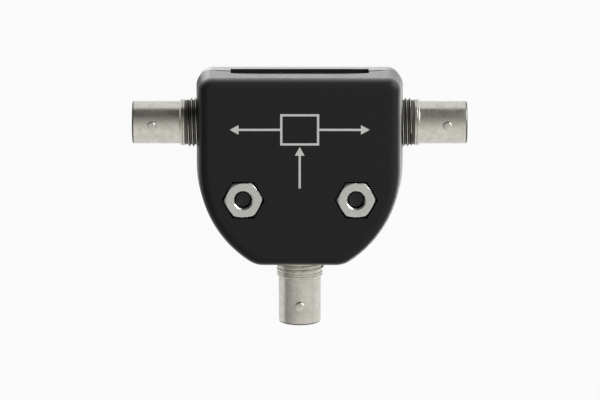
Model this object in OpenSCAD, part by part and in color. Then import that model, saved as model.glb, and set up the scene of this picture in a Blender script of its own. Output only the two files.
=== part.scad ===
// Two-way radio-frequency power splitter: a clamshell plastic case with three bayonet coaxial jacks.
// It lies on its rear face. X runs along the side jacks, Y towards the case's flat top edge, Z out of
// the front face. The origin is where the jack axes cross, dropped onto the rear face.

/* [Case] */
// Width of the case across its seam
case_w = 46.9; // [45:0.1:54]
// Reach of the case above the axis of the side jacks
case_top = 12.1; // [11:0.1:15]
// Reach of the case below the axis of the side jacks
case_drop = 32.35; // [31:0.05:38]
// Thickness of the closed case, from rear face to front face
case_t = 18; // [17.6:0.1:22]
// Thickness of the moulded walls
wall = 2.2; // [1.9:0.1:2.4]
// Radius of the two top corners
corner_r = 3.5; // [3.3:0.1:4.2]
// Radius of the curved flanks
flank_r = 25.9; // [22:0.1:30]
// Angle that each flank turns through before it meets its toe
flank_turn = 56.5; // [45:0.5:60]
// Radius that blends a flank into the flat bottom edge
toe_r = 6.5; // [3.5:0.5:8]
// Radius of the rounded edge around each face
edge_r = 2.4; // [1.6:0.1:2.5]
// Mould draft of the side walls, in degrees
draft = 4.75; // [2:0.25:5.5]
// Width of the small chamfer that each half has at the seam
seam_edge = 0.15; // [0.05:0.05:0.3]

/* [Seam and slot] */
// Thickness of the outer rim of the rear half, outside the lip
rim_t = 1.1; // [0.9:0.05:1.2]
// Depth that the front half's lip reaches into the rear half
lip_h = 1.2; // [0.6:0.1:2]
// Clearance around the lip
lip_gap = 0.08; // [0.04:0.02:0.15]
// Length of the opening slot in the top edge
slot_len = 31.4; // [20:0.2:34]
// Reach of the slot behind the seam
slot_drop = 2; // [1.5:0.1:3.5]
// Reach of the slot's ends in front of the seam
slot_rise = 2.7; // [2.4:0.1:3.5]
// Further reach of the slot's middle, whose front edge is arched
slot_arch = 0.8; // [0.4:0.1:1.2]
// Rise of the arched seam at the middle of the top edge
arch_rise = 2.2; // [1:0.1:2.3]
// Gap along the arched seam
arch_gap = 0.12; // [0.06:0.02:0.2]

/* [Jacks] */
// Length of a jack from its seat to its mouth
jack_len = 16.85; // [16:0.05:19]
// Reach of the side jacks past the case
side_reach = 14.6; // [13.6:0.05:14.9]
// Reach of the bottom jack past the case
bottom_reach = 14.15; // [13:0.05:14.5]
// Outside diameter of the bayonet barrel
barrel_d = 9.65; // [9.6:0.01:9.7]
// Length of the bayonet barrel
barrel_len = 10.9; // [10.5:0.1:11.5]
// Inside diameter of the barrel's mouth
mouth_d = 8.12; // [8.1:0.01:8.15]
// Depth of the mouth down to its floor
mouth_depth = 8.4; // [8.2:0.05:8.6]
// Diameter of a bayonet lug
lug_d = 2; // [1.9:0.02:2.06]
// Distance over the two bayonet lugs
lug_span = 11; // [10.95:0.01:11.1]
// Distance of the lugs from the mouth
lug_setback = 4.5; // [4.3:0.05:5.3]
// Major diameter of the mounting thread
thread_d = 11.11; // [11:0.01:11.4]
// Pitch of the mounting thread
thread_pitch = 0.907; // [0.8:0.001:1.1]
// Depth of the mounting thread
thread_depth = 0.5; // [0.3:0.05:0.56]
// Diameter of the collar between thread and barrel
collar_d = 10.5; // [10.3:0.05:10.8]
// Length of the collar
collar_len = 1.05; // [0.9:0.05:1.3]
// Width of the groove around the collar
collar_groove = 0.2; // [0.1:0.05:0.25]
// Length of the relief between thread and collar
relief_len = 0.2; // [0.1:0.05:0.4]
// Width of the square flange inside the case
flange_w = 12.4; // [12:0.1:12.8]
// Thickness of the flange
flange_t = 3; // [2.5:0.1:3.5]
// Section of the four ground legs
leg_w = 1.5; // [1.2:0.1:1.8]
// Length of the ground legs behind the flange
leg_len = 4; // [3:0.1:5]
// Distance of the ground legs from the jack's axis, along the board
leg_offset = 4.6; // [4:0.1:5]
// Diameter of the insulator's nose
nose_d = 4.9; // [4.7:0.05:5]
// Setback of the insulator's nose from the mouth
nose_setback = 3.4; // [3.2:0.05:3.6]
// Diameter of the insulator's body
insulator_d = 7.2; // [6.8:0.1:7.4]
// Thickness of the shoulder that stops the insulator
shoulder_t = 0.8; // [0.6:0.1:1]
// Outside diameter of the centre contact
contact_d = 2.2; // [2.1:0.05:2.4]
// Bore of the centre contact
contact_bore_d = 1.35; // [1.32:0.01:1.37]
// Depth of the centre contact's bore
contact_bore_len = 5.2; // [4.8:0.1:6]
// Width of the slot that splits the contact into two springs
contact_slot = 0.28; // [0.2:0.02:0.32]
// Diameter of the contact's solder tail
tail_d = 1.1; // [1:0.05:1.3]
// Length of the contact's solder tail behind the flange
tail_len = 4.5; // [3.5:0.1:5]

/* [Fasteners] */
// Distance between the two case screws
screw_pitch = 25.6; // [24:0.2:28]
// Distance of the case screws below the axis of the side jacks
screw_drop = 16.3; // [15:0.1:18]
// Diameter of the screws at their thread's mid-depth
screw_d = 3.9; // [3.4:0.1:4.1]
// Diameter of the screw heads
head_d = 7.4; // [6.8:0.1:7.6]
// Height of the screw heads
head_h = 2.4; // [2:0.1:2.6]
// Distance of the screw tips below the front face
tip_setback = 1; // [0.6:0.1:1.6]
// Width of the nuts across their flats
nut_af = 7.94; // [7.8:0.02:8.1]
// Thickness of the nuts
nut_t = 2.9; // [2.6:0.1:3.1]
// Clearance between a nut's flats and its pocket
nut_gap = 0.3; // [0.25:0.05:0.4]
// Turn of the left nut in its pocket, in degrees
left_nut_turn = 4; // [0:0.5:4]
// Turn of the right nut in its pocket, in degrees
right_nut_turn = 1; // [0:0.5:4]
// Diameter of the posts that clamp the board
post_d = 8; // [7:0.2:8.6]

/* [Circuit] */
// Thickness of the circuit board
board_t = 1.6; // [1.2:0.2:1.6]
// Clearance between the board and the case walls
board_gap = 0.8; // [0.5:0.1:1.2]
// Diameter of the enamelled wire
wire_d = 0.4; // [0.3:0.05:0.45]
// Height of the hybrid transformer's ring core
ring_h = 3; // [2.6:0.1:3.2]
// Radial width of the ring core
ring_w = 2.6; // [2.2:0.1:2.8]
// Mean diameter of the ring core
ring_d = 6.4; // [6:0.1:7]
// Turns on the ring core
ring_turns = 7; // [5:1:9]
// Length of the matching transformer's two-hole core
core_len = 6; // [5:0.1:7]
// Width of the two-hole core
core_w = 7; // [6.6:0.1:7.5]
// Height of the two-hole core
core_h = 4; // [3.8:0.1:4.4]
// Diameter of the holes in the two-hole core
core_hole_d = 2; // [1.8:0.1:2.2]
// Distance between the holes in the two-hole core
core_hole_pitch = 3; // [2.8:0.1:3.4]
// Turns through the two-hole core
core_turns = 3; // [2:1:3]

/* [Hidden] */
$fn = 64;

case_black = "#1d1d1d";
nickel = "#b9b3a6";
zinc = "#c9c9c4";
black_steel = "#2c2c2c";
ptfe = "#f0eee8";
gold = "#d2a94a";
board_green = "#1f5d3a";
ferrite = "#3b3b3d";
copper = "#b4622f";
chip_black = "#222226";
chip_tan = "#a98b62";

half_t = case_t / 2;
half_w = case_w / 2;
fit_gap = 0.03;
past = 1;

// Outline of the case, counter-clockwise from its bottom edge, moved inwards by inset
flank_x = half_w - flank_r;
flank_y = toe_r - case_drop + (flank_r - toe_r) * sin(flank_turn);
toe_x = flank_x + (flank_r - toe_r) * cos(flank_turn);
toe_y = toe_r - case_drop;
corner_x = half_w - corner_r;
corner_y = case_top - corner_r;
toe_steps = 6;
flank_steps = 16;
corner_steps = 10;

function arc(x, y, r, from, to, steps) = [
  for (i = [0:steps])
    let (a = from + (to - from) * i / steps)
      [x + r * cos(a), y + r * sin(a)]
];
function right_side(inset) = concat(
  arc(toe_x, toe_y, toe_r - inset, -90, -flank_turn, toe_steps),
  [for (i = [1:flank_steps - 1])
    let (a = flank_turn * (i / flank_steps - 1))
      [flank_x + (flank_r - inset) * cos(a), flank_y + (flank_r - inset) * sin(a)]],
  [[half_w - inset, flank_y]],
  arc(corner_x, corner_y, corner_r - inset, 0, 90, corner_steps)
);
function left_side(inset) =
  let (right = right_side(inset))
    [for (i = [len(right) - 1:-1:0]) [-right[i][0], right[i][1]]];
function outline(inset) = concat(right_side(inset), left_side(inset));

// Solid through a stack of sections, each [height, inset], from the lowest to the highest
module loft(sections) {
  count = len(outline(0));
  points = [for (s = sections, p = outline(s[1])) [p[0], p[1], s[0]]];
  rings = len(sections);
  bottom = [for (i = [0:count - 1]) i];
  top = [for (i = [count - 1:-1:0]) (rings - 1) * count + i];
  sides = [
    for (k = [0:rings - 2], i = [0:count - 1])
      let (j = (i + 1) % count)
        [k * count + i, (k + 1) * count + i, (k + 1) * count + j, k * count + j]
  ];
  polyhedron(points, concat([bottom], [top], sides), convexity = 4);
}

// Everything below is modelled about the jack axes, then raised onto the rear face
module raised() {
  translate([0, 0, half_t]) children();
}

// One half of the case as an outer form: seam at height 0, face at half_t.
// The loft runs a little past both, and a slab cuts it flat.
edge_steps = 6;
wall_lean = (half_t - edge_r) * tan(draft);

function edge_section(step) =
  let (a = 90 * step / edge_steps)
    [half_t - edge_r + edge_r * sin(a), wall_lean + edge_r * (1 - cos(a))];

module half_form() {
  last = edge_section(edge_steps);
  before = edge_section(edge_steps - 1);
  intersection() {
    loft(concat(
      [[-seam_edge, 2 * seam_edge], [seam_edge, 0]],
      [for (i = [0:edge_steps - 1]) edge_section(i)],
      [last + (last - before) / 8]
    ));
    translate([-case_w, -2 * case_drop, 0])
      cube([2 * case_w, 4 * case_drop, half_t]);
  }
}

// Hollow of one half, open at the seam
cavity_h = half_t - wall;

module half_cavity() {
  translate([0, 0, -past])
    linear_extrude(cavity_h + past)
      polygon(outline(wall));
}

// Band of the case walls either side of the seam, with no chamfer at the seam
module seam_belt() {
  belt = arch_rise + past;
  loft([[-past, past * tan(draft)], [0, 0], [belt, belt * tan(draft)]]);
}

// Arched part of the seam along the top edge: all that lies behind the arch
arch_half = corner_x - 0.4;
arch_r = (pow(arch_half, 2) + pow(arch_rise, 2)) / (2 * arch_rise);

module behind_arch(gap) {
  translate([0, case_top - rim_t - gap, arch_rise - arch_r])
    rotate([-90, 0, 0])
      cylinder(r = arch_r + gap, h = rim_t + gap + past, $fn = 200);
}

// Lip that stands on the front half and enters the rear half
module seam_ring(from, to, depth) {
  translate([0, 0, -depth])
    linear_extrude(depth + past)
      difference() {
        polygon(outline(from));
        polygon(outline(to));
      }
}

// Places a child at each jack's seat, with the jack's axis along +Z
seat_side = half_w + side_reach - jack_len;
seat_bottom = case_drop + bottom_reach - jack_len;

module at_left_seat() {
  translate([-seat_side, 0, 0]) rotate([0, -90, 0]) children();
}
module at_right_seat() {
  translate([seat_side, 0, 0]) rotate([0, 90, 0]) rotate([0, 0, 180]) children();
}
module at_bottom_seat() {
  translate([0, -seat_bottom, 0]) rotate([0, -90, 0]) rotate([90, 0, 0]) children();
}
module at_seats() {
  at_left_seat() children();
  at_right_seat() children();
  at_bottom_seat() children();
}

// Moulded seat of a jack: a pad that backs the wall and fills the lip's window at the seam, and a
// keeper rib behind the flange.
// In a seat's own frame +X points to the front face, and height 0 is the plane that the flange meets.
pad_w = flange_w + 1.6;
pad_root = 0.3;
keeper_t = 1.4;
keeper_w = flange_w - 2;
keeper_overlap = 1.2;
keeper_foot = cavity_h + wall / 2;
seat_gap = 0.1;

module seat_half(depth) {
  translate([0, -pad_w / 2, 0])
    cube([lip_h + past, pad_w, depth - rim_t + pad_root]);
  translate([0, -pad_w / 2, 0])
    cube([keeper_foot, pad_w, max(depth - wall, 0) + pad_root]);
  translate([flange_w / 2 - keeper_overlap, -keeper_w / 2, -flange_t - seat_gap - keeper_t])
    cube([keeper_foot - flange_w / 2 + keeper_overlap, keeper_w, keeper_t]);
}
module seat_halves() {
  at_left_seat() seat_half(jack_len - side_reach);
  at_right_seat() seat_half(jack_len - side_reach);
  at_bottom_seat() seat_half(jack_len - bottom_reach);
}

// Room for the jacks' flanges between their seats and the keepers
module flange_pockets() {
  room = flange_w + 2 * seat_gap;
  at_seats()
    translate([-room / 2, -room / 2, -flange_t - seat_gap])
      cube([room, room, flange_t + seat_gap]);
}

// Round hole for the jacks' threads, through the walls and their pads
thread_gap = 0.05;

module jack_holes() {
  at_seats()
    translate([0, 0, -past])
      cylinder(d = thread_d + 2 * thread_gap, h = jack_len);
}

// Space that each jack's seat takes at the seam, which the lip leaves free
module seat_windows() {
  at_seats()
    translate([-half_t, -pad_w / 2 - lip_gap, -past])
      cube([case_t, pad_w + 2 * lip_gap, jack_len]);
}

// Places a child at the case screws: side is -1 for the left one, 1 for the right one
module at_screw(side) {
  translate([side * screw_pitch / 2, -screw_drop, 0]) children();
}
module at_screws() {
  at_screw(-1) children();
  at_screw(1) children();
}

// The board lies just under the contacts' solder tails
board_top = -tail_d / 2 - fit_gap;
board_bottom = board_top - board_t;
clamp_gap = 0.02;

// Nut pockets in the front face, and the boss behind each
nut_r = nut_af / 2 / cos(30);
pocket_r = (nut_af / 2 + nut_gap) / cos(30);
pocket_depth = nut_t + 0.1;
pocket_wall = 1.3;
pocket_floor = 1.8;
screw_hole_d = screw_d + 0.5;
head_hole_d = head_d + 0.8;
head_setback = 0.4;
head_floor = 2;

module front_shell() {
  color(case_black) difference() {
    union() {
      difference() {
        half_form();
        half_cavity();
        behind_arch(arch_gap);
        top_slot();
      }
      difference() {
        seam_ring(rim_t + lip_gap, wall, lip_h);
        seat_windows();
      }
      seat_halves();
      at_screws() front_post();
    }
    jack_holes();
    flange_pockets();
    at_screws() front_hole();
  }
}

module front_post() {
  boss_h = pocket_depth + pocket_floor - wall / 2;
  translate([0, 0, half_t - wall / 2 - boss_h])
    cylinder(r = pocket_r + pocket_wall, h = boss_h);
  translate([0, 0, board_top + clamp_gap])
    cylinder(d = post_d, h = half_t - wall / 2 - board_top - clamp_gap);
}

module front_hole() {
  translate([0, 0, half_t - pocket_depth])
    cylinder(r = pocket_r, h = pocket_depth + past, $fn = 6);
  translate([0, 0, board_top - past])
    cylinder(d = screw_hole_d, h = case_t);
}

module rear_shell() {
  color(case_black) difference() {
    union() {
      difference() {
        mirror([0, 0, 1]) half_form();
        mirror([0, 0, 1]) half_cavity();
        seam_ring(rim_t, wall + past, lip_h + lip_gap);
      }
      slot_horns();
      mirror([0, 0, 1]) seat_halves();
      at_screws() rear_post();
    }
    jack_holes();
    flange_pockets();
    top_slot();
    at_screws() rear_hole();
  }
}

// Rim of the rear half that rises to the arched seam at each end of the slot
module slot_horns() {
  intersection() {
    seam_belt();
    behind_arch(0);
    translate([-half_w, case_top - rim_t, -past / 2])
      cube([case_w, rim_t + past, arch_rise + past]);
  }
}

// Opening slot cut into the rims of both halves, with an arched front edge
slot_front_r = (pow(slot_len / 2, 2) + pow(slot_arch, 2)) / (2 * slot_arch);

module top_slot() {
  intersection() {
    translate([-slot_len / 2, case_top - rim_t, -slot_drop])
      cube([slot_len, rim_t + past, slot_drop + slot_rise + slot_arch + past]);
    translate([0, case_top - rim_t - past, slot_rise + slot_arch - slot_front_r])
      rotate([-90, 0, 0])
        cylinder(r = slot_front_r, h = rim_t + 3 * past, $fn = 240);
  }
}

module rear_post() {
  boss_h = head_h + head_setback + head_floor - wall / 2;
  translate([0, 0, wall / 2 - half_t])
    cylinder(d = head_hole_d + 2 * pocket_wall, h = boss_h);
  translate([0, 0, wall / 2 - half_t])
    cylinder(d = post_d, h = half_t - wall / 2 + board_bottom - clamp_gap);
}

module rear_hole() {
  translate([0, 0, -half_t - past])
    cylinder(d = head_hole_d, h = head_h + head_setback + past);
  translate([0, 0, -case_t])
    cylinder(d = screw_hole_d, h = case_t);
}

// Bayonet jack, about +Z: seat at height 0, mouth at jack_len, flange and legs below
collar_top = jack_len - barrel_len;
groove_mid = collar_top - collar_len / 2;
thread_top = collar_top - collar_len - relief_len;
thread_r = thread_d / 2;
barrel_r = barrel_d / 2;
mouth_floor = jack_len - mouth_depth;
shoulder_bottom = mouth_floor - shoulder_t;
rim_chamfer = 0.35;
collar_r = collar_d / 2;
collar_chamfer = 0.15;
groove_depth = 0.15;
thread_flank = thread_depth * tan(30);
thread_crest = thread_pitch / 8;
ridges = floor(thread_top / thread_pitch);

// Profile of the thread as a row of ridges with 60 degree flanks, from the relief down to the seat
function ridge(top) = [
  [thread_r - thread_depth, top],
  [thread_r, top - thread_flank],
  [thread_r, top - thread_flank - thread_crest],
  [thread_r - thread_depth, top - 2 * thread_flank - thread_crest]
];
function ridge_profile() = [
  for (i = [0:ridges - 1])
    each ridge(thread_top - i * thread_pitch)
];

module jack_body() {
  color(nickel) difference() {
    union() {
      rotate_extrude() polygon(concat(
        [[0, jack_len],
         [barrel_r - rim_chamfer, jack_len],
         [barrel_r, jack_len - rim_chamfer],
         [barrel_r, collar_top],
         [collar_r - collar_chamfer, collar_top],
         [collar_r, collar_top - collar_chamfer],
         [collar_r, groove_mid + collar_groove / 2],
         [collar_r - groove_depth, groove_mid],
         [collar_r, groove_mid - collar_groove / 2],
         [collar_r, collar_top - collar_len],
         [thread_r - thread_depth, collar_top - collar_len]],
        ridge_profile(),
        [[thread_r - thread_depth, -flange_t / 2], [0, -flange_t / 2]]
      ));
      flange();
      lugs();
      ground_legs();
    }
    jack_bores();
  }
}

module flange() {
  flange_corner_r = flange_w * 0.62;
  intersection() {
    translate([-flange_w / 2, -flange_w / 2, -flange_t]) cube([flange_w, flange_w, flange_t]);
    translate([0, 0, -flange_t]) cylinder(r = flange_corner_r, h = flange_t);
  }
}

module lugs() {
  translate([-lug_span / 2, 0, jack_len - lug_setback])
    rotate([0, 90, 0])
      cylinder(d = lug_d, h = lug_span, $fn = 32);
}

module ground_legs() {
  for (side = [-1, 1]) {
    translate([board_top + clamp_gap, side * leg_offset - leg_w / 2, -flange_t - leg_len])
      cube([leg_w, leg_w, leg_len + flange_t / 2]);
    translate([board_bottom - clamp_gap - leg_w, side * leg_offset - leg_w / 2, -flange_t - leg_len])
      cube([leg_w, leg_w, leg_len + flange_t / 2]);
  }
}

module jack_bores() {
  mouth_r = mouth_d / 2;
  rotate_extrude() polygon([
    [0, jack_len + past],
    [mouth_r + rim_chamfer, jack_len + past],
    [mouth_r + rim_chamfer, jack_len],
    [mouth_r, jack_len - rim_chamfer],
    [mouth_r, mouth_floor],
    [nose_d / 2 + fit_gap, mouth_floor],
    [nose_d / 2 + fit_gap, shoulder_bottom],
    [insulator_d / 2 + fit_gap, shoulder_bottom],
    [insulator_d / 2 + fit_gap, -flange_t - past],
    [0, -flange_t - past]
  ]);
}

// Insulator, pushed in from behind up to the jack's shoulder
nose_top = jack_len - nose_setback;
contact_foot = 1;

module jack_insulator() {
  color(ptfe) difference() {
    union() {
      translate([0, 0, -flange_t]) cylinder(d = insulator_d, h = flange_t + shoulder_bottom - fit_gap);
      cylinder(d = nose_d, h = nose_top);
    }
    translate([0, 0, contact_foot - fit_gap]) cylinder(d = contact_d + 2 * fit_gap, h = jack_len);
    translate([0, 0, -flange_t - past]) cylinder(d = tail_d + 2 * fit_gap, h = jack_len);
  }
}

// Centre contact: a split socket in front, a solder tail behind
contact_setback = 0.15;
contact_top = nose_top - contact_setback;

module jack_contact() {
  color(gold) difference() {
    union() {
      translate([0, 0, contact_foot]) cylinder(d = contact_d, h = contact_top - contact_foot);
      translate([0, 0, -flange_t - tail_len]) cylinder(d = tail_d, h = flange_t + tail_len + 2 * contact_foot);
    }
    translate([0, 0, contact_top - contact_bore_len]) cylinder(d = contact_bore_d, h = jack_len);
    translate([-contact_d, -contact_slot / 2, contact_top - contact_bore_len * 0.7])
      cube([2 * contact_d, contact_slot, jack_len]);
  }
}

// Hex nut with its corners chamfered on both faces
module nut(turn) {
  face_r = nut_af / 2 * 0.97;
  brim_r = nut_r + 0.2;
  chamfer = (brim_r - face_r) * tan(30);
  bore_r = screw_d / 2 + fit_gap;
  sink = 0.3;
  base = half_t - pocket_depth;
  color(zinc) translate([0, 0, base]) difference() {
    intersection() {
      rotate([0, 0, turn]) cylinder(r = nut_r, h = nut_t, $fn = 6);
      rotate([0, 0, turn + 15]) rotate_extrude() polygon([
        [0, 0],
        [face_r, 0],
        [brim_r, chamfer],
        [brim_r, nut_t - chamfer],
        [face_r, nut_t],
        [0, nut_t]
      ]);
    }
    translate([0, 0, -past]) cylinder(r = bore_r, h = nut_t + 2 * past);
    translate([0, 0, nut_t - sink]) cylinder(r1 = bore_r, r2 = bore_r + 2 * sink, h = 2 * sink);
    translate([0, 0, -sink]) cylinder(r1 = bore_r + 2 * sink, r2 = bore_r, h = 2 * sink);
  }
}

// Pan-head screw with a cross recess, put in from the rear face
module screw() {
  head_base = head_setback - half_t;
  tip = half_t - tip_setback;
  tip_chamfer = 0.4;
  crown = 0.9;
  cross_w = 1;
  cross_len = head_d * 0.56;
  cross_depth = 1.5;
  color(black_steel) difference() {
    rotate_extrude() polygon([
      [0, head_base],
      [head_d / 2 - crown, head_base],
      [head_d / 2 - crown * 0.3, head_base + crown * 0.3],
      [head_d / 2, head_base + crown],
      [head_d / 2, head_base + head_h],
      [screw_d / 2, head_base + head_h],
      [screw_d / 2, tip - tip_chamfer],
      [screw_d / 2 - tip_chamfer, tip],
      [0, tip]
    ]);
    for (turn = [0, 90])
      rotate([0, 0, turn])
        translate([-cross_len / 2, -cross_w / 2, head_base - past])
          cube([cross_len, cross_w, cross_depth + past]);
  }
}

// Circuit board, cut back around the jacks' flanges and seats
board_inset = wall + board_gap;
board_clear = 0.5;

module circuit_board() {
  color(board_green) difference() {
    translate([0, 0, board_bottom]) linear_extrude(board_t) polygon(outline(board_inset));
    for (side = [-1, 1])
      translate([side * (seat_side - flange_t - seat_gap + half_w) - half_w,
                 -pad_w / 2 - board_clear, -half_t])
        cube([case_w, case_top + case_drop, case_t]);
    translate([-pad_w / 2 - board_clear, -2 * case_drop - seat_bottom + flange_t + seat_gap, -half_t])
      cube([pad_w + 2 * board_clear, 2 * case_drop, case_t]);
    at_screws() translate([0, 0, -half_t]) cylinder(d = screw_hole_d, h = case_t);
  }
}

// Round wire along a path, with the side that faces away from the core given at each point
function unit(v) = v / norm(v);

module wire(path, away) {
  sides = 8;
  count = len(path);
  points = [
    for (i = [0:count - 1])
      let (
        before = path[max(i - 1, 0)],
        after = path[min(i + 1, count - 1)],
        along = unit(after - before),
        across = unit(cross(along, away[i])),
        out = cross(across, along)
      )
        for (k = [0:sides - 1])
          path[i] + wire_d / 2 * (cos(360 * k / sides) * out + sin(360 * k / sides) * across)
  ];
  walls = [
    for (i = [0:count - 2], k = [0:sides - 1])
      let (n = (k + 1) % sides, a = i * sides, b = a + sides)
        each [[a + k, b + k, b + n], [a + k, b + n, a + n]]
  ];
  first = [for (k = [0:sides - 1]) k];
  last = [for (k = [sides - 1:-1:0]) (count - 1) * sides + k];
  polyhedron(points, concat([first], walls, [last]), convexity = 10);
}

// Short lead from a wire's end down to the board
module lead(at) {
  translate([at[0], at[1], board_top]) cylinder(d = wire_d, h = at[2] - board_top, $fn = 16);
}

// Hybrid transformer: a ring core that lies on the board, wound all round
ring_y = -3;
ring_round = norm([ring_w, ring_h]) / 2 * 0.9;
coil_steps = 14;
coil_r = (ring_round + wire_d / 2 + fit_gap) / cos(180 / coil_steps);
ring_z = board_top + coil_r + wire_d / 2;
coil_arc = 320;

module hybrid_core() {
  color(ferrite) translate([0, ring_y, ring_z]) rotate_extrude()
    translate([ring_d / 2, 0])
      intersection() {
        square([ring_w, ring_h], center = true);
        circle(r = ring_round);
      }
}

function coil_path() = [
  for (i = [0:ring_turns * coil_steps])
    let (round_core = 360 * i / coil_steps - 90, round_ring = coil_arc * i / (ring_turns * coil_steps))
      let (r = ring_d / 2 + coil_r * cos(round_core))
        [r * cos(round_ring), ring_y + r * sin(round_ring), ring_z + coil_r * sin(round_core)]
];
function coil_away() = [
  for (i = [0:ring_turns * coil_steps])
    let (round_core = 360 * i / coil_steps - 90, round_ring = coil_arc * i / (ring_turns * coil_steps))
      [cos(round_core) * cos(round_ring), cos(round_core) * sin(round_ring), sin(round_core)]
];

module hybrid_winding() {
  color(copper) wire(coil_path(), coil_away());
}

// Matching transformer: a two-hole core, wound through both holes
core_y = -16;
core_z = board_top + core_h / 2;
loop_r = core_hole_pitch / 2;
loop_half = core_len / 2 + 0.5;
loop_rise = wire_d + 0.05;
loop_steps = 12;
lead_len = 1.3;

module matching_core() {
  color(ferrite) difference() {
    translate([-core_w / 2, core_y - core_len / 2, board_top]) cube([core_w, core_len, core_h]);
    for (side = [-1, 1])
      translate([side * core_hole_pitch / 2, core_y - core_len, core_z])
        rotate([-90, 0, 0])
          cylinder(d = core_hole_d, h = 2 * core_len);
  }
}

// Half circles past each end of the core, joined by the straight runs through its holes
loop_points = (core_turns - 0.5) * loop_steps;

function loop_path() = [
  for (i = [0:loop_points])
    let (
      a = 360 * i / loop_steps,
      end = i % loop_steps <= loop_steps / 2 ? 1 : -1,
      rise = loop_rise * (i - loop_points / 2) / loop_steps
    )
      [loop_r * cos(a), core_y + end * loop_half + loop_r * sin(a), core_z + rise]
];

module matching_winding() {
  lead_y = core_y - loop_half - lead_len;
  turns = loop_path();
  first = [loop_r, lead_y, turns[0][2]];
  last = [-loop_r, lead_y, turns[loop_points][2]];
  path = concat([first], turns, [last]);
  color(copper) {
    wire(path, [for (p = path) [0, 0, 1]]);
    lead(first);
    lead(last);
  }
}

// Chip parts: a ceramic body with a plated cap at each end
module chip(at, size, tint) {
  cap = 0.5;
  plate = 0.05;
  color(tint) translate([at[0], at[1], board_top]) {
    translate([-size[0] / 2, -size[1] / 2, plate]) cube([size[0], size[1], size[2] - 2 * plate]);
    for (side = [-1, 1])
      translate([side * (size[0] - cap) / 2 - cap / 2, -size[1] / 2 - plate, 0])
        cube([cap, size[1] + 2 * plate, size[2]]);
  }
}

module isolation_resistor() {
  chip([0, 5.5], [3.2, 1.6, 0.6], chip_black);
}

module tuning_capacitor() {
  chip([0, -10], [2, 1.25, 0.9], chip_tan);
}

raised() front_shell();
raised() rear_shell();
raised() at_left_seat() jack_body();  // left_jack_body
raised() at_left_seat() jack_insulator();  // left_jack_insulator
raised() at_left_seat() jack_contact();  // left_jack_contact
raised() at_right_seat() jack_body();  // right_jack_body
raised() at_right_seat() jack_insulator();  // right_jack_insulator
raised() at_right_seat() jack_contact();  // right_jack_contact
raised() at_bottom_seat() jack_body();  // bottom_jack_body
raised() at_bottom_seat() jack_insulator();  // bottom_jack_insulator
raised() at_bottom_seat() jack_contact();  // bottom_jack_contact
raised() at_screw(-1) nut(left_nut_turn);  // left_nut
raised() at_screw(1) nut(right_nut_turn);  // right_nut
raised() at_screw(-1) screw();  // left_screw
raised() at_screw(1) screw();  // right_screw
raised() circuit_board();
raised() hybrid_core();
raised() hybrid_winding();
raised() matching_core();
raised() matching_winding();
raised() isolation_resistor();
raised() tuning_capacitor();
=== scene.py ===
import math

import bmesh
import bpy
from mathutils import Matrix, Vector


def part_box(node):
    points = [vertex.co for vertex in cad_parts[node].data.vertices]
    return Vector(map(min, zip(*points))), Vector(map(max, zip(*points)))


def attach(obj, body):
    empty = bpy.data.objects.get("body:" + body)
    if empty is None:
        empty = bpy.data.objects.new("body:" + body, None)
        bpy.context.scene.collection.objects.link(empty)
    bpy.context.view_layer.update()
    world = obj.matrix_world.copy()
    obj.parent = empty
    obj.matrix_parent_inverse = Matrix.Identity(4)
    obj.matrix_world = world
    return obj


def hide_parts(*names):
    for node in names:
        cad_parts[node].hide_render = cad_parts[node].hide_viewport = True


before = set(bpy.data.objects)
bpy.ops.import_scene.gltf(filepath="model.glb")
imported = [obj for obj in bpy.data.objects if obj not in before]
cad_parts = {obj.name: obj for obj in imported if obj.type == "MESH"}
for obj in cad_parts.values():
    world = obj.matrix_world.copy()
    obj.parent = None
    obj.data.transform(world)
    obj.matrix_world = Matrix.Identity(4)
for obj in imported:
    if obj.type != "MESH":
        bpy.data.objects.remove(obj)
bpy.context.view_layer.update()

# Studio: the splitter lies on its rear face on a pale table, under a long lens that leans a little over
# its flat top edge. A broad soft panel stands low beyond the picture's top right corner. The room is
# bright overhead and below the picture, less so to its right, and dim beyond the top edge.
mm = 0.001
axis_z = (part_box("left_jack_body")[0].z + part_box("left_jack_body")[1].z) / 2
lean = math.radians(12.2)
lens_distance = 1000 * mm
picture_w = 137.1 * mm
aim = Vector((0.07 * mm, -18.13 * mm, axis_z))
table_half = 4000 * mm
table_grey = "#8c8c8b"
table_glow = 0.95
room_dim = "#4a4a49"
room_bright = "#f8f7f4"
bright_side = Vector((0.3, -0.85, 0.35))
dim_until = -0.4
bright_from = 0.78
panel_size = 900 * mm
panel_watts = 41.0
panel_place = Vector((980 * mm, 780 * mm, 250 * mm))


def srgb(code):
    """The linear colour of an sRGB hex value."""
    shares = [int(code[i:i + 2], 16) / 255 for i in (1, 3, 5)]
    return [s / 12.92 if s <= 0.04045 else ((s + 0.055) / 1.055) ** 2.4 for s in shares] + [1.0]


def wire(tree, node, sockets):
    """Set a node's sockets. A socket takes a value, or the output that feeds it."""
    for name, value in sockets.items():
        if isinstance(value, bpy.types.NodeSocket):
            tree.links.new(value, node.inputs[name])
        else:
            node.inputs[name].default_value = value


def add(tree, kind, sockets=None, **settings):
    """One shader node with its settings and sockets."""
    made = tree.nodes.new(kind)
    for name, value in settings.items():
        setattr(made, name, value)
    wire(tree, made, sockets or {})
    return made


def new_object(name, bm):
    """A mesh object at the origin, with its place in its mesh and no normals kept from a copied node."""
    mesh = bpy.data.meshes.new(name)
    bm.to_mesh(mesh)
    bm.free()
    if mesh.has_custom_normals:
        mesh.attributes.remove(mesh.attributes["custom_normal"])
    made = bpy.data.objects.new(name, mesh)
    bpy.context.scene.collection.objects.link(made)
    return made


scene = bpy.context.scene
scene.view_settings.view_transform = "Standard"

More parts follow.
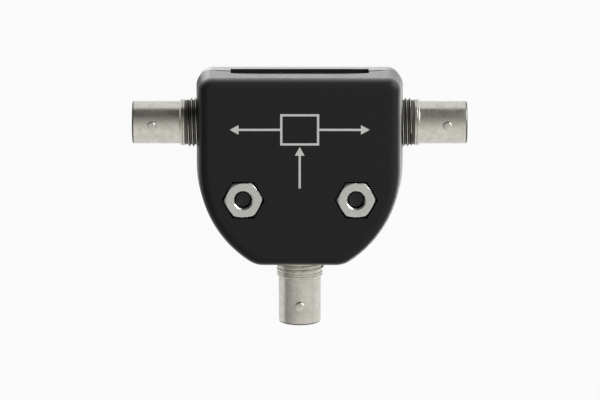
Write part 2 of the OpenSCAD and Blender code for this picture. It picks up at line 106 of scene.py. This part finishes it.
camera = bpy.data.objects.new("camera", bpy.data.cameras.new("camera"))
camera.data.sensor_fit = "HORIZONTAL"
camera.data.sensor_width = 36
camera.data.lens = camera.data.sensor_width * lens_distance / picture_w
camera.data.clip_start = 10 * mm
camera.location = aim + lens_distance * Vector((0, math.sin(lean), math.cos(lean)))
camera.rotation_euler = (-lean, 0, 0)
scene.collection.objects.link(camera)
scene.camera = camera

bm = bmesh.new()
bmesh.ops.create_grid(bm, x_segments=1, y_segments=1, size=table_half)
table = new_object("table", bm)

# Lacquered table top, shown as plain white to the lens and in the metal, with a soft shadow left on it
table_top = bpy.data.materials.new("pale_lacquered_table")
table_top.use_nodes = True
tree = table_top.node_tree
tree.nodes.remove(tree.nodes["Principled BSDF"])
ray = add(tree, "ShaderNodeLightPath")
seen = add(tree, "ShaderNodeMath", {0: ray.outputs["Is Camera Ray"], 1: ray.outputs["Is Glossy Ray"]},
           operation="MAXIMUM")
seen = add(tree, "ShaderNodeMath", {0: seen.outputs[0], 1: ray.outputs["Is Transmission Ray"]},
           operation="MAXIMUM")
share = add(tree, "ShaderNodeMath", {0: seen.outputs[0], 1: table_glow}, operation="MULTIPLY")
lacquer = add(tree, "ShaderNodeBsdfDiffuse", {"Color": srgb(table_grey)})
glow = add(tree, "ShaderNodeEmission", {"Color": (1, 1, 1, 1), "Strength": 1.0})
mix = add(tree, "ShaderNodeMixShader", {0: share.outputs[0], 1: lacquer.outputs[0], 2: glow.outputs[0]})
wire(tree, tree.nodes["Material Output"], {"Surface": mix.outputs[0]})
table.data.materials.append(table_top)

# Room: one even change of tone, from its bright side to the dim one
scene.world = bpy.data.worlds.new("studio_room")
scene.world.use_nodes = True
tree = scene.world.node_tree
look = add(tree, "ShaderNodeTexCoord")
facing = add(tree, "ShaderNodeVectorMath", {0: look.outputs["Generated"], 1: bright_side},
             operation="DOT_PRODUCT")
fade = add(tree, "ShaderNodeMapRange",
           {"Value": facing.outputs["Value"], "From Min": dim_until, "From Max": bright_from})
tone = add(tree, "ShaderNodeMix", {"Factor": fade.outputs[0], "A": srgb(room_dim), "B": srgb(room_bright)},
           data_type="RGBA")
wire(tree, tree.nodes["Background"], {"Color": tone.outputs["Result"]})

panel = bpy.data.lights.new("corner_panel", "AREA")
panel.size = panel_size
panel.energy = panel_watts
stand = bpy.data.objects.new("corner_panel", panel)
stand.location = panel_place
stand.rotation_euler = (aim - panel_place).to_track_quat("-Z", "Y").to_euler()
scene.collection.objects.link(stand)


# Rear half of the case: a black ABS moulding with a rim around the seam, an opening slot along the
# top edge and sunk seats for the screw heads. Its mould was spark eroded, which leaves a fine grain.
case_black = "#222223"
grain = 0.25 * mm
grain_depth = 0.05 * mm
flow_mark = 9 * mm
painted_shade_reach = 0.8 * mm
soft_edge = 0.03 * mm
crease = math.radians(28)
flat_within = math.radians(0.2)
weld = 0.001 * mm
sliver = 0.02 * mm


def softened(name, node, width):
    """A copy of a node whose sharp edges are rounded by width, standing for that node."""
    bm = bmesh.new()
    bm.from_mesh(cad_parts[node].data)
    bmesh.ops.remove_doubles(bm, verts=bm.verts, dist=weld)
    bmesh.ops.dissolve_limit(bm, angle_limit=flat_within, verts=bm.verts, edges=bm.edges)
    bmesh.ops.dissolve_degenerate(bm, dist=sliver, edges=bm.edges)
    copy = new_object(name, bm)
    copy.data.shade_smooth()
    edge = copy.modifiers.new("soft_edges", "BEVEL")
    edge.width = width
    edge.segments = 2
    edge.limit_method = "ANGLE"
    edge.angle_limit = crease
    shade = copy.modifiers.new("flat_faces", "WEIGHTED_NORMAL")
    shade.keep_sharp = True
    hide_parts(node)
    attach(copy, "root")
    return copy


def new_finish(name):
    """A new material, with its node tree, its shader and its texture coordinates."""
    made = bpy.data.materials.new(name)
    made.use_nodes = True
    tree = made.node_tree
    return made, tree, tree.nodes["Principled BSDF"], add(tree, "ShaderNodeTexCoord")


# Spark-eroded black ABS: satin, with a close grain that breaks highlights into specks. The walls have
# a dry, dusty sheen, which stops at the rounded edge of the front face. Painted shade takes that sheen
# out of gaps and seams and off the left side, away from the lamp. The grain is about three times as
# coarse as a mould's, so that it shows.
case_abs, tree, shader, coord = new_finish("spark_eroded_abs")
pits = add(tree, "ShaderNodeTexNoise",
           {"Vector": coord.outputs["Object"], "Scale": 1 / grain, "Detail": 2.0, "Roughness": 0.6})
flow = add(tree, "ShaderNodeTexNoise",
           {"Vector": coord.outputs["Object"], "Scale": 1 / flow_mark, "Detail": 2.0})
gloss = add(tree, "ShaderNodeMapRange",
            {"Value": flow.outputs["Fac"], "From Min": 0.3, "From Max": 0.7, "To Min": 0.36, "To Max": 0.44})
relief = add(tree, "ShaderNodeBump",
             {"Height": pits.outputs["Fac"], "Strength": 0.35, "Distance": grain_depth})
tilt = add(tree, "ShaderNodeSeparateXYZ", {0: coord.outputs["Normal"]})
walls = add(tree, "ShaderNodeMapRange", {"Value": tilt.outputs["Z"], "From Min": 0.8, "From Max": 0.5})
specks = add(tree, "ShaderNodeMapRange",
             {"Value": pits.outputs["Fac"], "From Min": 0.42, "From Max": 0.58, "To Min": 0.65, "To Max": 1.0})
# Painted shade: ambient occlusion takes the sheen out of gaps, seams and pockets, where shade falls
open_air = add(tree, "ShaderNodeAmbientOcclusion", {"Distance": painted_shade_reach}, samples=8)
clear = add(tree, "ShaderNodeMapRange", {"Value": open_air.outputs["AO"], "From Min": 0.9, "From Max": 1.0})
# Painted shade: the sheen fades off the left side, which faces away from the lamp
left_side_shade = add(tree, "ShaderNodeMapRange", {"Value": tilt.outputs["X"], "From Min": -0.98, "From Max": -0.65})
sheen_and_painted_shade = walls.outputs[0]
for mask in (specks, clear, left_side_shade):
    sheen_and_painted_shade = add(tree, "ShaderNodeMath", {0: sheen_and_painted_shade, 1: mask.outputs[0]}, operation="MULTIPLY").outputs[0]
wire(tree, shader, {"Base Color": srgb(case_black), "Roughness": gloss.outputs[0], "Specular IOR Level": 0.06,
                    "Sheen Weight": sheen_and_painted_shade, "Sheen Roughness": 0.5, "Normal": relief.outputs[0]})

rear_half = softened("rear_case_half", "rear_shell", soft_edge)
rear_half.data.materials.append(case_abs)


# Jacks: three female bayonet jacks, turned from brass and plated with nickel. Each has a mounting
# thread, a collar, a barrel with two pressed-in lugs, and a square flange with legs that the case
# halves clamp. A white insulator is pushed in from behind and carries the split gold contact.
jack_len = 16.85 * mm
barrel_r = 4.825 * mm
barrel_len = 10.9 * mm
barrel_foot = 0.1 * mm
rim = 0.35 * mm
rim_round = 0.35 * rim
mouth_r = 4.06 * mm
mouth_depth = 8.4 * mm
mouth_chamfer = 0.15 * mm
shoulder = 0.8 * mm
nose_hole_r = 2.48 * mm
body_hole_r = 3.63 * mm
collar_r = 5.25 * mm
collar_len = 1.05 * mm
collar_edge = 0.15 * mm
groove_half = 0.1 * mm
groove_depth = 0.15 * mm
relief_len = 0.2 * mm
thread_r = 5.555 * mm
thread_depth = 0.5 * mm
thread_pitch = 0.907 * mm
thread_start = 0.1 * mm
thread_sunk = 0.05 * mm
lug_r = 1.0 * mm
lug_reach = 5.5 * mm
lug_setback = 4.5 * mm
lug_sunk = 0.4 * mm
lug_edge = 0.18 * mm
flange_cut = 0.3 * mm
insulator_edge = 0.12 * mm
contact_edge = 0.05 * mm
slack = 0.1 * mm
nickel_warm = "#d2cfc8"
nickel_dull = "#c2bfb6"
nickel_cloud = 1.6 * mm
nickel_peel = 0.5 * mm
peel_depth = 0.05 * mm
# The darker nickel that paints shade in the threads, by the lugs and on the mouth's edge
painted_shade_nickel = "#5c5a55"
stain_size = 0.8 * mm
fluoropolymer = "#efede7"
insulator_mark = 0.4 * mm
mark_depth = 0.03 * mm
gold = "#d9ae55"
contact_mark = 0.3 * mm

collar_top = jack_len - barrel_len
collar_foot = collar_top - collar_len
groove_mid = collar_top - collar_len / 2
thread_top = collar_foot - relief_len
root_r = thread_r - thread_depth
mouth_floor = jack_len - mouth_depth
lug_base = barrel_r - lug_sunk
lug_z = jack_len - lug_setback


def seat(node, outward):
    """A jack's own frame: Z out of the case from its seat, X towards the front face."""
    out = Vector(outward)
    up = Vector((0, 0, 1))
    place = Matrix((up, out.cross(up), out)).transposed().to_4x4()
    mouth = max(Vector(corner).dot(out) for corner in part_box(node))
    place.translation = out * (mouth - jack_len) + up * axis_z
    return place


def turned(bm, profile):
    """A solid turned about Z from a closed profile of (radius, height) points."""
    points = [bm.verts.new((r, 0, z)) for r, z in profile]
    sides = [bm.edges.new((a, b)) for a, b in zip(points, points[1:] + points[:1])]
    bmesh.ops.spin(bm, geom=points + sides, cent=(0, 0, 0), axis=(0, 0, 1), dvec=(0, 0, 0),
                   angle=2 * math.pi, steps=128, use_merge=True)


def thread_ridge(bm, bottom, top):
    """A right-handed ridge with 60 degree flanks between two heights, fading over its last quarter turn."""
    steps = 64
    tip = thread_pitch / 16
    foot = tip + thread_depth * math.tan(math.radians(30))
    sunk = root_r - thread_sunk
    before = set(bm.verts)
    section = [bm.verts.new((r, 0, bottom + foot + z))
               for r, z in ((sunk, -foot), (thread_r, -tip), (thread_r, tip), (sunk, foot))]
    face = bm.faces.new(section)
    turns = (top - bottom - 2 * foot) / thread_pitch
    count = round(turns * steps)
    bmesh.ops.spin(bm, geom=[face, *face.edges, *face.verts], cent=(0, 0, 0), axis=(0, 0, 1),
                   dvec=(0, 0, turns * thread_pitch / count), angle=2 * math.pi * turns, steps=count)
    for v in set(bm.verts) - before:
        radius = v.co.xy.length
        height = min(1, max(0, (top - foot - v.co.z) / (thread_pitch / 4)))
        if abs(radius - thread_r) < thread_depth / 4:
            scale = (root_r + thread_depth * height) / radius
            v.co.x *= scale
            v.co.y *= scale


# Nickel plate over brass: warm grey, a little dull and cloudy from handling. The clouds are coarser than
# life, so that they show.
plate, tree, shader, coord = new_finish("nickel_plated_brass")
cloud = add(tree, "ShaderNodeTexNoise",
            {"Vector": coord.outputs["Object"], "Scale": 1 / nickel_cloud, "Detail": 4.0, "Roughness": 0.65})
tint = add(tree, "ShaderNodeValToRGB", {"Fac": cloud.outputs["Fac"]})
for stop, position, colour in ((0, 0.35, nickel_dull), (1, 0.6, nickel_warm)):
    tint.color_ramp.elements[stop].position = position
    tint.color_ramp.elements[stop].color = srgb(colour)
gloss = add(tree, "ShaderNodeMapRange",
            {"Value": cloud.outputs["Fac"], "From Min": 0.3, "From Max": 0.7, "To Min": 0.36, "To Max": 0.24})
peel = add(tree, "ShaderNodeTexNoise",
           {"Vector": coord.outputs["Object"], "Scale": 1 / nickel_peel, "Detail": 2.0})
relief = add(tree, "ShaderNodeBump",
             {"Height": peel.outputs["Fac"], "Strength": 0.12, "Distance": peel_depth})
wire(tree, shader, {"Base Color": tint.outputs["Color"], "Metallic": 1.0, "Roughness": gloss.outputs[0],
                    "Normal": relief.outputs[0]})

# Nickel plate darkened to paint shade between the threads, around the lugs' sides and on the mouth's edge,
# where it also dims the lamp's glint
plate_with_painted_shade, tree, shader, coord = new_finish("nickel_plate_with_painted_shade")
stain = add(tree, "ShaderNodeTexNoise",
            {"Vector": coord.outputs["Object"], "Scale": 1 / stain_size, "Detail": 3.0})
gloss = add(tree, "ShaderNodeMapRange", {"Value": stain.outputs["Fac"], "To Min": 0.35, "To Max": 0.55})
wire(tree, shader, {"Base Color": srgb(painted_shade_nickel), "Metallic": 1.0, "Roughness": gloss.outputs[0]})

# Turned fluoropolymer: white and waxy, with faint turning marks
white_insulator, tree, shader, coord = new_finish("turned_fluoropolymer")
marks = add(tree, "ShaderNodeTexNoise",
            {"Vector": coord.outputs["Object"], "Scale": 1 / insulator_mark, "Detail": 2.0})
relief = add(tree, "ShaderNodeBump",
             {"Height": marks.outputs["Fac"], "Strength": 0.1, "Distance": mark_depth})
wire(tree, shader, {"Base Color": srgb(fluoropolymer), "IOR": 1.35, "Roughness": 0.45,
                    "Normal": relief.outputs[0]})

# Gold flash over bronze: bright and yellow, with fine turning marks
gold_flash, tree, shader, coord = new_finish("gold_flashed_bronze")
marks = add(tree, "ShaderNodeTexNoise",
            {"Vector": coord.outputs["Object"], "Scale": 1 / contact_mark, "Detail": 3.0})
gloss = add(tree, "ShaderNodeMapRange", {"Value": marks.outputs["Fac"], "To Min": 0.15, "To Max": 0.35})
wire(tree, shader, {"Base Color": srgb(gold), "Metallic": 1.0, "Roughness": gloss.outputs[0]})

# The flange and its legs are taken from the left jack, cut off just outside the seat and closed
jack = bmesh.new()
jack.from_mesh(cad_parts["left_jack_body"].data)
bmesh.ops.remove_doubles(jack, verts=jack.verts, dist=weld)
jack.transform(seat("left_jack_body", (-1, 0, 0)).inverted())
cut = bmesh.ops.bisect_plane(jack, geom=[*jack.verts, *jack.edges, *jack.faces], dist=weld / 10,
                             plane_co=(0, 0, flange_cut), plane_no=(0, 0, 1), clear_outer=True)
bmesh.ops.bridge_loops(jack, edges=[e for e in cut["geom_cut"] if isinstance(e, bmesh.types.BMEdge)])

turned(jack, [
    (root_r, 0.0),
    (root_r, collar_foot),
    (collar_r - collar_edge / 2, collar_foot),
    (collar_r, collar_foot + collar_edge / 2),
    (collar_r, groove_mid - groove_half),
    (collar_r - groove_depth, groove_mid),
    (collar_r, groove_mid + groove_half),
    (collar_r, collar_top - collar_edge),
    (collar_r - collar_edge, collar_top),
    (barrel_r + barrel_foot, collar_top),
    (barrel_r, collar_top + barrel_foot),
    (barrel_r, jack_len - rim),
    (barrel_r - rim_round, jack_len - rim_round),
    (barrel_r - rim, jack_len),
    (mouth_r + mouth_chamfer, jack_len),
    (mouth_r, jack_len - mouth_chamfer),
    (mouth_r, mouth_floor),
    (nose_hole_r, mouth_floor),
    (nose_hole_r, mouth_floor - shoulder),
    (body_hole_r, mouth_floor - shoulder),
    (body_hole_r, 0.0),
])
thread_ridge(jack, thread_start, thread_top)

for turn in (0, math.pi):
    place = (Matrix.Rotation(turn, 4, "Z")
             @ Matrix.Translation(((lug_base + lug_reach) / 2, 0, lug_z))
             @ Matrix.Rotation(math.pi / 2, 4, "Y"))
    lug = bmesh.ops.create_cone(jack, cap_ends=True, segments=48, radius1=lug_r, radius2=lug_r,
                                depth=lug_reach - lug_base, matrix=place)["verts"]
    head = [e for e in {e for v in lug for e in v.link_edges}
            if min(v.co.xy.length for v in e.verts) > lug_reach - slack / 10]
    bmesh.ops.bevel(jack, geom=head, offset=lug_edge, segments=3, profile=0.5, affect="EDGES", material=-1)
bmesh.ops.recalc_face_normals(jack, faces=jack.faces)

# Slot 0 is bright plate, slot 1 the thread below its crest, and slot 2 the lugs' sides and the mouth's edge,
# the last two darkened as painted shade
for face in jack.faces:
    middle = face.calc_center_median()
    radius = middle.xy.length
    in_thread = thread_start < middle.z < collar_foot and root_r - slack < radius <= thread_r - slack / 2
    by_lug = math.hypot(middle.y, middle.z - lug_z) < lug_r + slack / 2 and radius > lug_base + slack
    lug_side = by_lug and abs(face.normal.x) < 0.5
    mouth_edge = middle.z > jack_len - rim and radius > mouth_r + slack
    face.material_index = 2 if lug_side or mouth_edge else int(in_thread)

for side, outward in (("left", (-1, 0, 0)), ("right", (1, 0, 0)), ("bottom", (0, -1, 0))):
    turned_jack = jack.copy()
    turned_jack.transform(seat(f"{side}_jack_body", outward))
    body = new_object(f"{side}_jack_plated_body", turned_jack)
    body.data.shade_smooth()
    body.data.set_sharp_from_angle(angle=crease)
    # The side jacks' threads are darkened as painted shade; the bottom jack's thread, facing the bright room,
    # keeps the bright plate
    for finish in (plate, plate if side == "bottom" else plate_with_painted_shade, plate_with_painted_shade):
        body.data.materials.append(finish)
    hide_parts(f"{side}_jack_body")
    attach(body, "root")
    insulator = softened(f"{side}_jack_white_insulator", f"{side}_jack_insulator", insulator_edge)
    insulator.data.materials.append(white_insulator)
    contact = softened(f"{side}_jack_gold_contact", f"{side}_jack_contact", contact_edge)
    contact.data.materials.append(gold_flash)
jack.free()


# Circuit: a glass laminate board under green solder resist, clamped between the posts of the case.
# It carries a ring core and a two-hole core, both wound with enamelled wire, and two chip parts.
resist_green, resist_dark = "#1f5d3a", "#174a2d"
ferrite_grey, ferrite_pale = "#3b3b3d", "#48484b"
enamel, enamel_pale = "#a9592a", "#b9683a"
chip_glaze, chip_glaze_pale = "#222226", "#2c2c31"
chip_tan, chip_tan_pale = "#a98b62", "#b5976d"
weave = 0.5 * mm
ferrite_grain = 0.3 * mm
enamel_run = 0.8 * mm
chip_speck = 0.2 * mm

# Solder resist is a glossy green that darkens over the weave. Ferrite is matt grey, with a grain coarser
# than life. Enamelled copper is a bright orange brown. The chips are a dark glaze and a tan fired ceramic.
for name, nodes, low, high, size, roughness, metallic in (
    ("solder_resist_on_laminate", ["circuit_board"], resist_dark, resist_green, weave, 0.35, 0.0),
    ("sintered_ferrite", ["hybrid_core", "matching_core"], ferrite_grey, ferrite_pale, ferrite_grain, 0.6, 0.0),
    ("enamelled_copper", ["hybrid_winding", "matching_winding"], enamel, enamel_pale, enamel_run, 0.25, 1.0),
    ("glazed_film_chip", ["isolation_resistor"], chip_glaze, chip_glaze_pale, chip_speck, 0.3, 0.0),
    ("fired_ceramic_chip", ["tuning_capacitor"], chip_tan, chip_tan_pale, chip_speck, 0.5, 0.0),
):
    inner, tree, shader, coord = new_finish(name)
    fleck = add(tree, "ShaderNodeTexNoise",
                {"Vector": coord.outputs["Object"], "Scale": 1 / size, "Detail": 2.0})
    tint = add(tree, "ShaderNodeMix", {"Factor": fleck.outputs["Fac"], "A": srgb(low), "B": srgb(high)},
               data_type="RGBA")
    wire(tree, shader, {"Base Color": tint.outputs["Result"], "Roughness": roughness, "Metallic": metallic})
    for node in nodes:
        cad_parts[node].data.materials.clear()
        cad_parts[node].data.materials.append(inner)


# Front half of the case: the same black ABS, with a lip inside the seam and two six-sided pockets
# for the nuts. It closes over the board and clamps the jacks' flanges. Its edge along the slot and the
# arched seam is broken, so that the seam shows as a dark line at each end of the slot, kept dark by the
# painted shade that takes the case's sheen out of gaps.
arch_edge = 0.4 * mm
square_on = 0.95

front_half = softened("front_case_half", "front_shell", soft_edge)
bm = bmesh.new()
bm.from_mesh(front_half.data)
arch = [e for e in bm.edges if min(v.co.z for v in e.verts) > axis_z + slack
        and max(f.normal.y for f in e.link_faces) > square_on
        and min(f.normal.z for f in e.link_faces) < -square_on]
bmesh.ops.bevel(bm, geom=arch, offset=arch_edge, segments=1, profile=0.5, affect="EDGES", material=-1)
bmesh.ops.dissolve_degenerate(bm, dist=sliver, edges=bm.edges)
bm.to_mesh(front_half.data)
bm.free()
front_half.data.set_sharp_from_angle(angle=crease)
front_half.data.materials.append(case_abs)


# Screws and nuts: two black steel screws come through from the rear face, and a zinc plated hex nut
# in each pocket of the front face pulls the halves together.
screw_edge = 0.1 * mm
nut_edge = 0.08 * mm
steel_black = "#2a2a2b"
oxide_bloom = 0.6 * mm
zinc_bright = "#d6d6d2"
zinc_dull = "#bcbcb8"
zinc_crystal = 0.8 * mm
crystal_depth = 0.04 * mm

# Black oxide on steel: nearly black with a soft sheen
black_oxide, tree, shader, coord = new_finish("black_oxide_steel")
bloom = add(tree, "ShaderNodeTexNoise",
            {"Vector": coord.outputs["Object"], "Scale": 1 / oxide_bloom, "Detail": 3.0})
gloss = add(tree, "ShaderNodeMapRange", {"Value": bloom.outputs["Fac"], "To Min": 0.35, "To Max": 0.55})
wire(tree, shader, {"Base Color": srgb(steel_black), "Metallic": 0.7, "Roughness": gloss.outputs[0]})

# Bright zinc plate: silvery, with a faint crystal mottle
zinc, tree, shader, coord = new_finish("bright_zinc_plate")
mottle = add(tree, "ShaderNodeTexNoise",
             {"Vector": coord.outputs["Object"], "Scale": 1 / zinc_crystal, "Detail": 3.0, "Roughness": 0.6})
tint = add(tree, "ShaderNodeMix",
           {"Factor": mottle.outputs["Fac"], "A": srgb(zinc_dull), "B": srgb(zinc_bright)}, data_type="RGBA")
gloss = add(tree, "ShaderNodeMapRange", {"Value": mottle.outputs["Fac"], "To Min": 0.22, "To Max": 0.4})
relief = add(tree, "ShaderNodeBump",
             {"Height": mottle.outputs["Fac"], "Strength": 0.1, "Distance": crystal_depth})
wire(tree, shader, {"Base Color": tint.outputs["Result"], "Metallic": 1.0, "Roughness": gloss.outputs[0],
                    "Normal": relief.outputs[0]})

for side in ("left", "right"):
    screw = softened(f"{side}_black_screw", f"{side}_screw", screw_edge)
    screw.data.materials.append(black_oxide)
    nut = softened(f"{side}_zinc_nut", f"{side}_nut", nut_edge)
    nut.data.materials.append(zinc)


# Print: a plain line drawing of the signal path, pad printed in light grey ink on the front face.
# One line comes up from the bottom jack to a box, and one leaves the box towards each side jack.
ink_grey = "#c4c4c2"
ink_thin = "#a9a9a7"
ink_t = 0.005 * mm
stroke = 0.5 * mm
face_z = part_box("front_shell")[1].z
box_half_w = 4.4 * mm
box_half_h = 3.6 * mm
reach = 15.8 * mm
line_foot = -13.5 * mm
arrow_gap = 0.35 * mm
arrow_len = 2.0 * mm
arrow_half = 1.1 * mm

half = stroke / 2
inner_w = box_half_w - stroke
inner_h = box_half_h - stroke
neck = reach - arrow_len
tip = -box_half_h - arrow_gap


def patch(bm, *corners):
    """A flat patch of ink on the front face, from its corners."""
    bm.faces.new([bm.verts.new((x, y, face_z)) for x, y in corners])


bm = bmesh.new()
for sx in (-1, 1):
    side_x = sx * box_half_w
    patch(bm, (side_x, -box_half_h), (side_x, -half), (side_x, half), (side_x, box_half_h),
          (sx * inner_w, inner_h), (sx * inner_w, -inner_h))
    patch(bm, (side_x, -half), (side_x, half), (sx * neck, half), (sx * neck, arrow_half),
          (sx * reach, 0), (sx * neck, -arrow_half), (sx * neck, -half))
for sy in (-1, 1):
    patch(bm, (-box_half_w, sy * box_half_h), (box_half_w, sy * box_half_h), (inner_w, sy * inner_h),
          (-inner_w, sy * inner_h))
patch(bm, (-half, line_foot), (half, line_foot), (half, tip - arrow_len), (arrow_half, tip - arrow_len),
      (0, tip), (-arrow_half, tip - arrow_len), (-half, tip - arrow_len))
bmesh.ops.remove_doubles(bm, verts=bm.verts, dist=weld)
bmesh.ops.recalc_face_normals(bm, faces=bm.faces)
raised = bmesh.ops.extrude_face_region(bm, geom=bm.faces[:], use_keep_orig=True)
bmesh.ops.translate(bm, vec=(0, 0, ink_t),
                    verts=[v for v in raised["geom"] if isinstance(v, bmesh.types.BMVert)])
bmesh.ops.recalc_face_normals(bm, faces=bm.faces)
legend = new_object("printed_signal_path", bm)

# Pad printing ink: matt light grey, a little thin where the grain shows through
ink, tree, shader, coord = new_finish("pad_printing_ink")
cover = add(tree, "ShaderNodeTexNoise",
            {"Vector": coord.outputs["Object"], "Scale": 1 / grain, "Detail": 2.0})
tint = add(tree, "ShaderNodeMix", {"Factor": cover.outputs["Fac"], "A": srgb(ink_thin), "B": srgb(ink_grey)},
           data_type="RGBA")
wire(tree, shader, {"Base Color": tint.outputs["Result"], "Roughness": 0.6})
legend.data.materials.append(ink)
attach(legend, "root")
